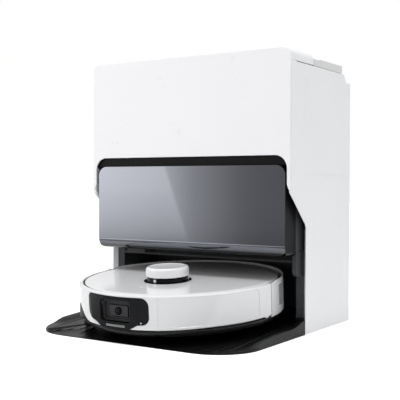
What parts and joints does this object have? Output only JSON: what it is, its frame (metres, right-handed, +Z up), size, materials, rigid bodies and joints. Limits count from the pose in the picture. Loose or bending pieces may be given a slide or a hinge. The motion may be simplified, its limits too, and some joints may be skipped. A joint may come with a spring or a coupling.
{
  "type": "robot vacuum with docking station",
  "caption": "Round robot vacuum and mop parked in a tall self-emptying station with water tanks, dust cover and sloping ramp.",
  "frame": {"origin": "on the floor, at the centre of the station's footprint: half way between the ramp's front edge and the rear face, under the base plate", "axes": "+Z up, the front with the bay and the robot faces -Y, +X is the viewer's right when looking at the front"},
  "size_m": [0.409, 0.4292, 0.47],
  "materials": {
    "station_white": "satin moulded white",
    "station_front": "satin moulded white",
    "station_grey": "satin light grey",
    "mirror_cover": "mirror-like dark glaze",
    "liner_black": "fine-textured black",
    "base_black": "fine-textured black with ridges",
    "tray_dark": "satin black",
    "tank_smoke": "smoked, translucent-looking",
    "bag_paper": "non-woven paper",
    "bottle_blue": "smooth",
    "fan_grey": "moulded grey",
    "board_green": "solder mask",
    "contact_metal": "plated",
    "bristle_black": "bristles",
    "robot_dark": "fine-textured dark grey",
    "robot_white": "glossy lacquered white",
    "robot_top": "high-gloss white",
    "window_black": "polished black",
    "camera_grey": "satin dark grey with glass lens",
    "led_grey": "frosted diffuser",
    "turret_dark": "infra-red window black",
    "wheel_grey": "moulded",
    "tyre_rubber": "moulded rubber",
    "roller_rubber": "soft finned rubber",
    "arm_grey": "fine-textured grey",
    "mop_fabric": "short-pile microfibre"
  },
  "bodies": {
    "dock": {"dock_shell": "station_white", "front_panel": "station_front", "top_deck": "station_white", "rear_cover": "station_white", "bay_surround": "liner_black", "bay_liner": "liner_black", "dust_compartment": "liner_black", "dust_bag": "bag_paper", "detergent_bottle": "bottle_blue", "suction_motor": "fan_grey", "dust_duct": "liner_black", "water_pump": "fan_grey", "drying_fan": "fan_grey", "power_board": "board_green", "mains_inlet": "liner_black", "base_plate": "base_black", "wash_tray": "tray_dark"},
    "dust_cover": {"dust_cover": "mirror_cover"},
    "clean_tank": {"clean_water_tank": "tank_smoke"},
    "clean_lid": {"clean_tank_lid": "station_grey"},
    "clean_handle": {"clean_tank_handle": "station_grey"},
    "dirty_tank": {"dirty_water_tank": "tank_smoke"},
    "dirty_lid": {"dirty_tank_lid": "station_grey"},
    "dirty_handle": {"dirty_tank_handle": "station_grey"},
    "contact_right": {"charge_contact_right": "contact_metal"},
    "contact_left": {"charge_contact_left": "contact_metal"},
    "scrub_carriage": {"scrub_carriage": "fan_grey"},
    "scrub_brush": {"scrub_brush": "bristle_black"},
    "robot": {"robot_chassis": "robot_dark", "body_shell": "robot_white", "camera_module": "camera_grey", "turret_deck": "turret_dark", "brush_housing": "robot_dark", "brush_guard": "robot_dark", "dustbin": "tank_smoke", "dust_filter": "bag_paper", "blower": "fan_grey", "battery": "liner_black", "mainboard": "board_green"},
    "bumper": {"bumper": "robot_white", "camera_window": "window_black", "led_bar": "led_grey"},
    "top_cover": {"top_cover": "robot_top"},
    "power_button": {"power_button": "robot_top"},
    "lidar_rotor": {"lidar_rotor": "turret_dark"},
    "turret_cap": {"turret_cap": "robot_top"},
    "suspension_right": {"suspension_arm_right": "robot_dark"},
    "suspension_left": {"suspension_arm_left": "robot_dark"},
    "wheel_right": {"wheel_hub_right": "wheel_grey", "wheel_tyre_right": "tyre_rubber"},
    "wheel_left": {"wheel_hub_left": "wheel_grey", "wheel_tyre_left": "tyre_rubber"},
    "caster_fork": {"caster_fork": "robot_dark"},
    "caster_wheel": {"caster_wheel": "wheel_grey"},
    "front_roller": {"front_roller": "roller_rubber"},
    "rear_roller": {"rear_roller": "roller_rubber"},
    "side_brush_arm": {"side_brush_arm": "arm_grey"},
    "side_brush": {"side_brush": "bristle_black"},
    "mop": {"mop_plate": "robot_dark", "mop_cloth": "mop_fabric"}
  },
  "joints": [
    {"name": "dust_cover_pull", "type": "slide", "parent": "dock", "child": "dust_cover", "axis": [0, -1, 0], "range_m": [0, 0.12]},
    {"name": "clean_tank_lift", "type": "slide", "parent": "dock", "child": "clean_tank", "axis": [0, 0, 1], "range_m": [0, 0.33]},
    {"name": "clean_lid_hinge", "type": "hinge", "parent": "clean_tank", "child": "clean_lid", "pos_m": [0.1, 0.1655, 0.453], "axis": [-1, 0, 0], "range_deg": [0, 80]},
    {"name": "clean_handle_pivot", "type": "hinge", "parent": "clean_tank", "child": "clean_handle", "pos_m": [0.1, 0.068, 0.4555], "axis": [-1, 0, 0], "range_deg": [0, 90]},
    {"name": "dirty_tank_lift", "type": "slide", "parent": "dock", "child": "dirty_tank", "axis": [0, 0, 1], "range_m": [0, 0.33]},
    {"name": "dirty_lid_hinge", "type": "hinge", "parent": "dirty_tank", "child": "dirty_lid", "pos_m": [-0.1, 0.1655, 0.453], "axis": [-1, 0, 0], "range_deg": [0, 80]},
    {"name": "dirty_handle_pivot", "type": "hinge", "parent": "dirty_tank", "child": "dirty_handle", "pos_m": [-0.1, 0.068, 0.4555], "axis": [-1, 0, 0], "range_deg": [0, 90]},
    {"name": "contact_right_press", "type": "slide", "parent": "dock", "child": "contact_right", "axis": [0, 1, 0], "range_m": [0, 0.003], "stiffness_N_per_m": 300},
    {"name": "contact_left_press", "type": "slide", "parent": "dock", "child": "contact_left", "axis": [0, 1, 0], "range_m": [0, 0.003], "stiffness_N_per_m": 300},
    {"name": "scrub_carriage_travel", "type": "slide", "parent": "dock", "child": "scrub_carriage", "axis": [1, 0, 0], "range_m": [-0.1, 0.1]},
    {"name": "scrub_brush_spin", "type": "hinge", "parent": "scrub_carriage", "child": "scrub_brush", "pos_m": [0, 0.07, 0.012], "axis": [0, 1, 0], "continuous": true},
    {"name": "robot_drive_out", "type": "slide", "parent": "dock", "child": "robot", "axis": [0, -1, 0], "range_m": [0, 0.42]},
    {"name": "bumper_press", "type": "slide", "parent": "robot", "child": "bumper", "axis": [0, 0.9977, 0.0673], "range_m": [0, 0.0025], "stiffness_N_per_m": 500},
    {"name": "top_cover_lift", "type": "slide", "parent": "robot", "child": "top_cover", "axis": [0, -0.0673, 0.9977], "range_m": [0, 0.015]},
    {"name": "power_button_press", "type": "slide", "parent": "robot", "child": "power_button", "axis": [0, 0.0673, -0.9977], "range_m": [0, 0.001], "stiffness_N_per_m": 1500},
    {"name": "lidar_spin", "type": "hinge", "parent": "robot", "child": "lidar_rotor", "pos_m": [0, -0.0862, 0.09574], "axis": [0, -0.0673, 0.9977], "continuous": true},
    {"name": "turret_cap_press", "type": "slide", "parent": "robot", "child": "turret_cap", "axis": [0, 0.0673, -0.9977], "range_m": [0, 0.002], "stiffness_N_per_m": 3000},
    {"name": "suspension_right_hinge", "type": "hinge", "parent": "robot", "child": "suspension_right", "pos_m": [0.102, 0.00597, 0.05185], "axis": [-1, 0, 0], "range_deg": [-3.4, 4.3], "stiffness_Nm_per_rad": 30},
    {"name": "wheel_right_spin", "type": "hinge", "parent": "suspension_right", "child": "wheel_right", "pos_m": [0.118, -0.04159, 0.04363], "axis": [1, 0, 0], "continuous": true},
    {"name": "suspension_left_hinge", "type": "hinge", "parent": "robot", "child": "suspension_left", "pos_m": [-0.102, 0.00597, 0.05185], "axis": [-1, 0, 0], "range_deg": [-3.4, 4.3], "stiffness_Nm_per_rad": 30},
    {"name": "wheel_left_spin", "type": "hinge", "parent": "suspension_left", "child": "wheel_left", "pos_m": [-0.118, -0.04159, 0.04363], "axis": [1, 0, 0], "continuous": true},
    {"name": "caster_swivel", "type": "hinge", "parent": "robot", "child": "caster_fork", "pos_m": [0, -0.16624, 0.03422], "axis": [0, -0.0673, 0.9977], "continuous": true},
    {"name": "caster_roll", "type": "hinge", "parent": "caster_fork", "child": "caster_wheel", "pos_m": [0, -0.16117, 0.01852], "axis": [1, 0, 0], "continuous": true},
    {"name": "front_roller_spin", "type": "hinge", "parent": "robot", "child": "front_roller", "pos_m": [0, -0.11894, 0.03139], "axis": [1, 0, 0], "continuous": true},
    {"name": "rear_roller_spin", "type": "hinge", "parent": "robot", "child": "rear_roller", "pos_m": [0, -0.07903, 0.03409], "axis": [1, 0, 0], "continuous": true},
    {"name": "side_brush_arm_swing", "type": "hinge", "parent": "robot", "child": "side_brush_arm", "pos_m": [-0.06338, -0.16186, 0.05556], "axis": [0, -0.0673, 0.9977], "range_deg": [-12, 0]},
    {"name": "side_brush_spin", "type": "hinge", "parent": "side_brush_arm", "child": "side_brush", "pos_m": [-0.1218, -0.14201, 0.0138], "axis": [0, -0.0673, 0.9977], "continuous": true},
    {"name": "mop_lift", "type": "slide", "parent": "robot", "child": "mop", "axis": [0, -0.0673, 0.9977], "range_m": [0, 0.0095]}
  ],
  "couplings": [
    {"joint": "rear_roller_spin", "follows": "front_roller_spin", "ratio": -1}
  ]
}
